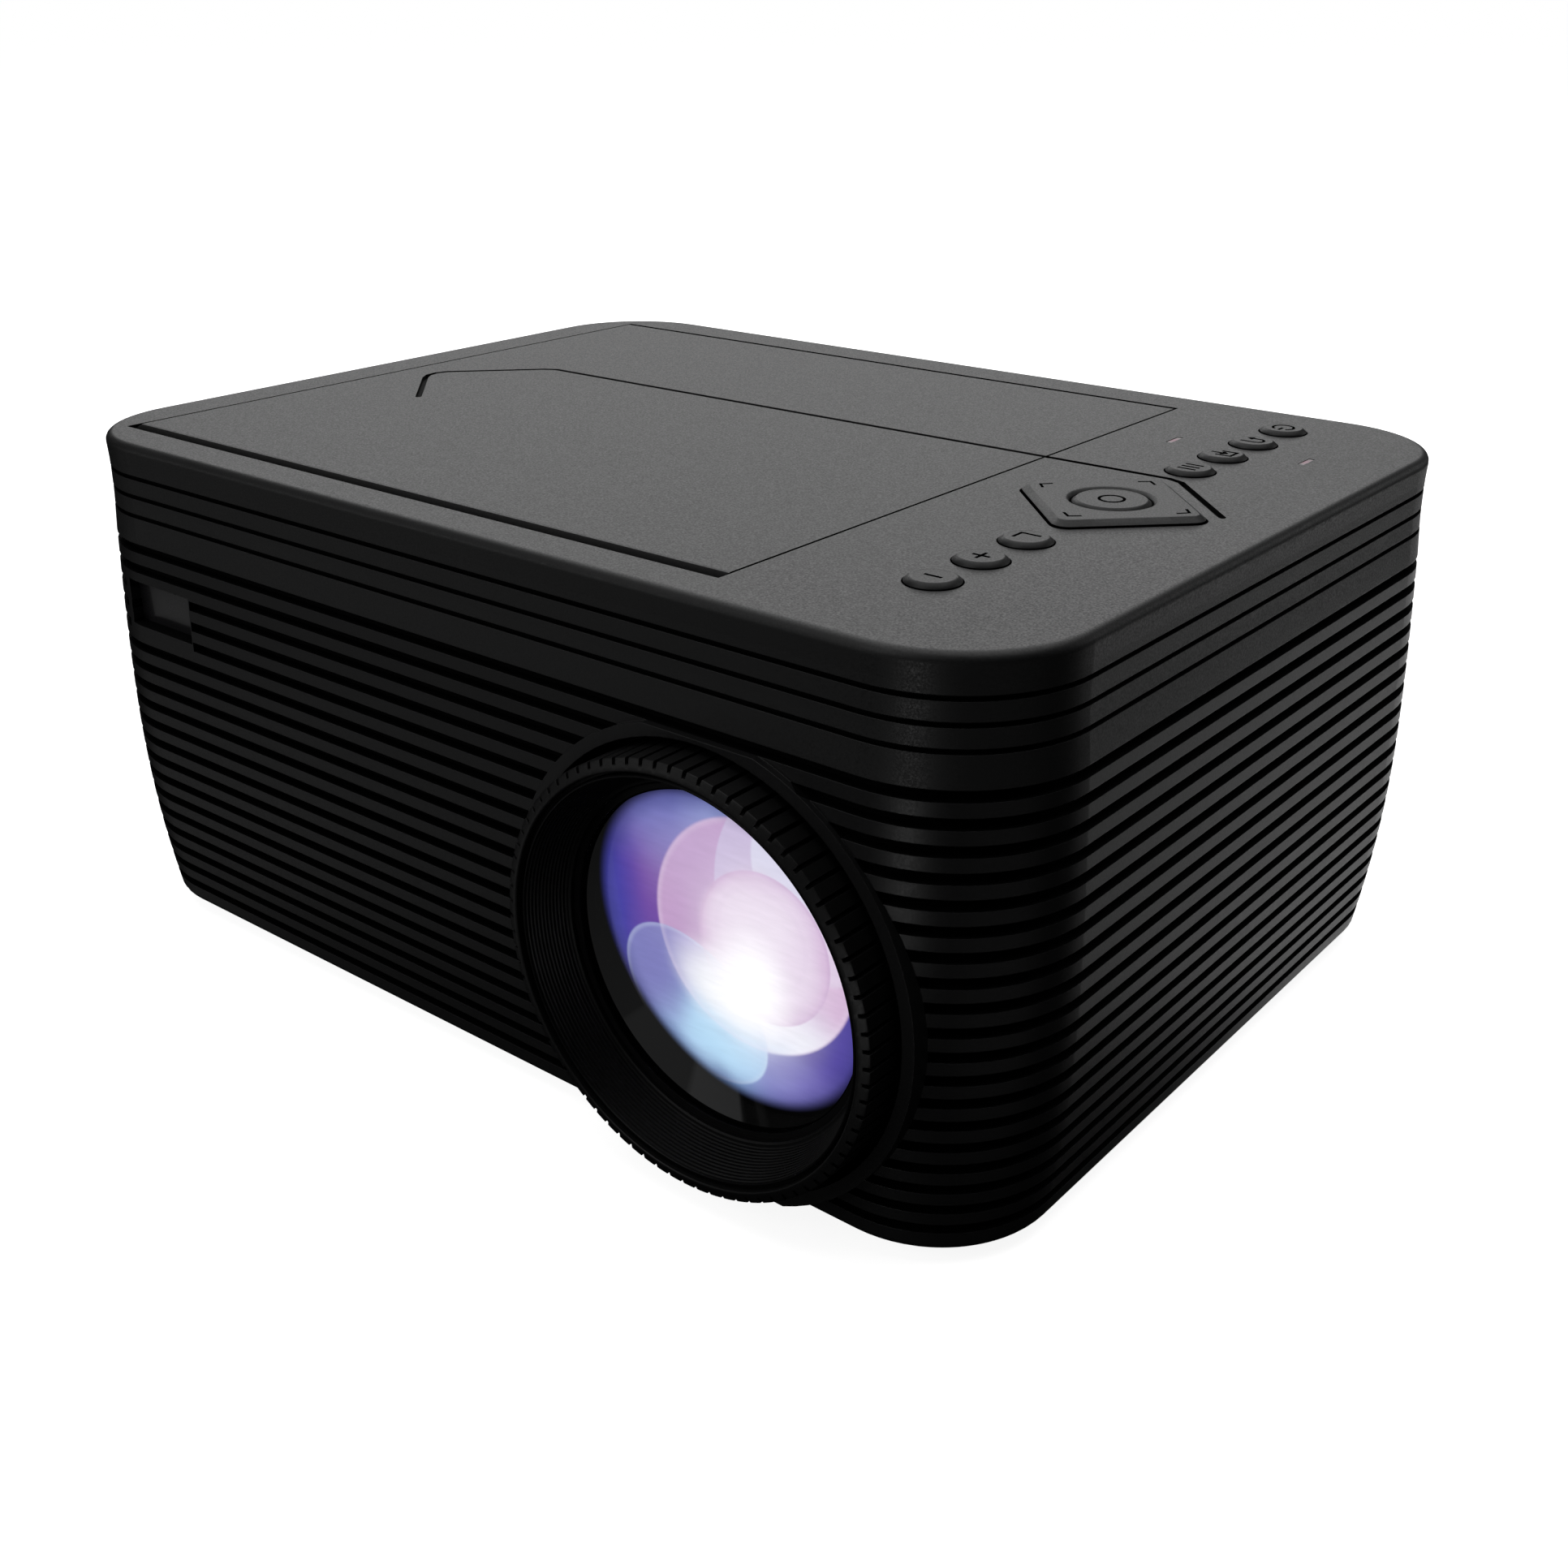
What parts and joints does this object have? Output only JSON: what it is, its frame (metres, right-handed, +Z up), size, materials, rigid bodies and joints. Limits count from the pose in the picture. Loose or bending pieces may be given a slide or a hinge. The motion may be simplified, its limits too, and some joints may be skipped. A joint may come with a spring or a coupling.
{
  "type": "projector with built in disc player",
  "caption": "Box-shaped table projector with grooved walls, a front lens with a focus ring, a hinged disc lid and a key pad on top.",
  "frame": {"origin": "bottom centre of the bounding box, on the surface that the feet stand on", "axes": "+X to the right seen from the lens side's back, along the long front wall; the lens looks along -Y; +Z up"},
  "size_m": [0.244, 0.1894, 0.1123],
  "materials": {
    "black_plastic": "fine texture, black",
    "lid_plastic": "fine texture, charcoal",
    "key_plastic": "satin, charcoal",
    "deck_plastic": "smooth, black",
    "lens_plastic": "satin, black",
    "lens_glass": "polished, coated",
    "steel": "bright",
    "steel_sheet": "zinc plated",
    "brass_part": "turned",
    "rubber_black": "matt",
    "white_plastic": "natural",
    "circuit_board": "green lacquer",
    "aluminium_part": "extruded",
    "mirror_glass": "front surface",
    "clear_optic": "clear",
    "lcd_glass": "dark panel",
    "light_pipe": "milky",
    "ir_plastic": "dark gloss",
    "socket_plastic": "black"
  },
  "bodies": {
    "housing": {"bottom_housing": "black_plastic", "top_cover": "lid_plastic", "lid_hinge_pins": "steel", "disc_deck": "deck_plastic", "drive_chassis": "steel_sheet", "drive_dampers": "rubber_black", "spindle_motor": "steel_sheet", "sled_rails": "steel", "sled_motor": "steel_sheet", "key_board": "circuit_board", "indicator_windows": "light_pipe", "lens_mount": "lens_plastic", "engine_tray": "deck_plastic", "engine_cover": "deck_plastic", "fresnel_lenses": "clear_optic", "lcd_panel": "lcd_glass", "fold_mirror": "mirror_glass", "condenser_lens": "clear_optic", "led_module": "aluminium_part", "heat_sink": "aluminium_part", "exhaust_fan_frame": "deck_plastic", "intake_fan_frame": "deck_plastic", "main_board": "circuit_board", "power_board": "circuit_board", "speakers": "steel_sheet", "rear_panel": "black_plastic", "hdmi_socket": "steel", "usb_socket": "steel", "audio_jacks": "socket_plastic", "mains_inlet": "socket_plastic", "ir_window": "ir_plastic", "ir_receiver": "circuit_board", "rubber_feet": "rubber_black", "threaded_inserts": "brass_part", "screws": "steel"},
    "lid": {"dvd_lid": "lid_plastic", "lid_bumpers": "rubber_black"},
    "hub": {"disc_hub": "white_plastic", "disc_hub_ring": "rubber_black"},
    "sled": {"laser_sled": "deck_plastic", "laser_lens": "clear_optic"},
    "lead_screw": {"lead_screw": "steel"},
    "gimbal": {"navigation_gimbal": "white_plastic"},
    "navigation": {"navigation_key": "key_plastic"},
    "ok": {"ok_key": "key_plastic"},
    "focus_ring": {"focus_ring": "lens_plastic"},
    "lens_barrel": {"lens_barrel": "lens_plastic", "front_lens": "lens_glass", "inner_lenses": "clear_optic", "lens_retainers": "lens_plastic"},
    "exhaust_rotor": {"exhaust_fan_rotor": "deck_plastic"},
    "intake_rotor": {"intake_fan_rotor": "deck_plastic"},
    "tilt_foot": {"tilt_foot": "rubber_black"},
    "volume_down_key": {"volume_down_key": "key_plastic"},
    "volume_up_key": {"volume_up_key": "key_plastic"},
    "next_key": {"next_key": "key_plastic"},
    "menu_key": {"menu_key": "key_plastic"},
    "source_key": {"source_key": "key_plastic"},
    "back_key": {"back_key": "key_plastic"},
    "power_key": {"power_key": "key_plastic"}
  },
  "joints": [
    {"name": "lid_hinge", "type": "hinge", "parent": "housing", "child": "lid", "pos_m": [-0.0245, 0.0788, 0.1094], "axis": [-1, 0, 0], "range_deg": [0, 75]},
    {"name": "hub_spin", "type": "hinge", "parent": "housing", "child": "hub", "pos_m": [-0.0245, 0.0024, 0.098], "axis": [0, 0, 1], "continuous": true},
    {"name": "screw_spin", "type": "hinge", "parent": "housing", "child": "lead_screw", "pos_m": [0.02, 0.0279, 0.089], "axis": [1, 0, 0], "range_deg": [0, 4080]},
    {"name": "sled_slide", "type": "slide", "parent": "housing", "child": "sled", "axis": [1, 0, 0], "range_m": [0, 0.034]},
    {"name": "volume_down_key_press", "type": "slide", "parent": "housing", "child": "volume_down_key", "axis": [0, 0, -1], "range_m": [0, 0.0006], "stiffness_N_per_m": 500, "springref_m": -0.0004},
    {"name": "volume_up_key_press", "type": "slide", "parent": "housing", "child": "volume_up_key", "axis": [0, 0, -1], "range_m": [0, 0.0006], "stiffness_N_per_m": 500, "springref_m": -0.0004},
    {"name": "next_key_press", "type": "slide", "parent": "housing", "child": "next_key", "axis": [0, 0, -1], "range_m": [0, 0.0006], "stiffness_N_per_m": 500, "springref_m": -0.0004},
    {"name": "menu_key_press", "type": "slide", "parent": "housing", "child": "menu_key", "axis": [0, 0, -1], "range_m": [0, 0.0006], "stiffness_N_per_m": 500, "springref_m": -0.0004},
    {"name": "source_key_press", "type": "slide", "parent": "housing", "child": "source_key", "axis": [0, 0, -1], "range_m": [0, 0.0006], "stiffness_N_per_m": 500, "springref_m": -0.0004},
    {"name": "back_key_press", "type": "slide", "parent": "housing", "child": "back_key", "axis": [0, 0, -1], "range_m": [0, 0.0006], "stiffness_N_per_m": 500, "springref_m": -0.0004},
    {"name": "power_key_press", "type": "slide", "parent": "housing", "child": "power_key", "axis": [0, 0, -1], "range_m": [0, 0.0006], "stiffness_N_per_m": 500, "springref_m": -0.0004},
    {"name": "nav_tilt_side", "type": "hinge", "parent": "housing", "child": "gimbal", "pos_m": [0.0874, 0.0012, 0.1044], "axis": [1, 0, 0], "range_deg": [-1.1, 1.1], "stiffness_Nm_per_rad": 1.2},
    {"name": "nav_tilt_fore", "type": "hinge", "parent": "gimbal", "child": "navigation", "pos_m": [0.0874, 0.0012, 0.1044], "axis": [0, 1, 0], "range_deg": [-1.1, 1.1], "stiffness_Nm_per_rad": 1.2},
    {"name": "ok_press", "type": "slide", "parent": "housing", "child": "ok", "axis": [0, 0, -1], "range_m": [0, 0.0005], "stiffness_N_per_m": 500, "springref_m": -0.0004},
    {"name": "focus_turn", "type": "hinge", "parent": "housing", "child": "focus_ring", "pos_m": [0.0641, -0.0866, 0.0449], "axis": [0, -1, 0], "range_deg": [-60, 60]},
    {"name": "barrel_slide", "type": "slide", "parent": "housing", "child": "lens_barrel", "axis": [0, -1, 0], "range_m": [-0.003, 0.003]},
    {"name": "exhaust_spin", "type": "hinge", "parent": "housing", "child": "exhaust_rotor", "pos_m": [-0.106, 0.0154, 0.045], "axis": [1, 0, 0], "continuous": true},
    {"name": "intake_spin", "type": "hinge", "parent": "housing", "child": "intake_rotor", "pos_m": [0.11, -0.0166, 0.043], "axis": [1, 0, 0], "continuous": true},
    {"name": "foot_screw_out", "type": "slide", "parent": "housing", "child": "tilt_foot", "axis": [0, 0, -1], "range_m": [0, 0.012]}
  ],
  "couplings": [
    {"joint": "screw_spin", "follows": "sled_slide", "rad_per_m": 2094.4},
    {"joint": "focus_turn", "follows": "barrel_slide", "rad_per_m": 349.07}
  ]
}
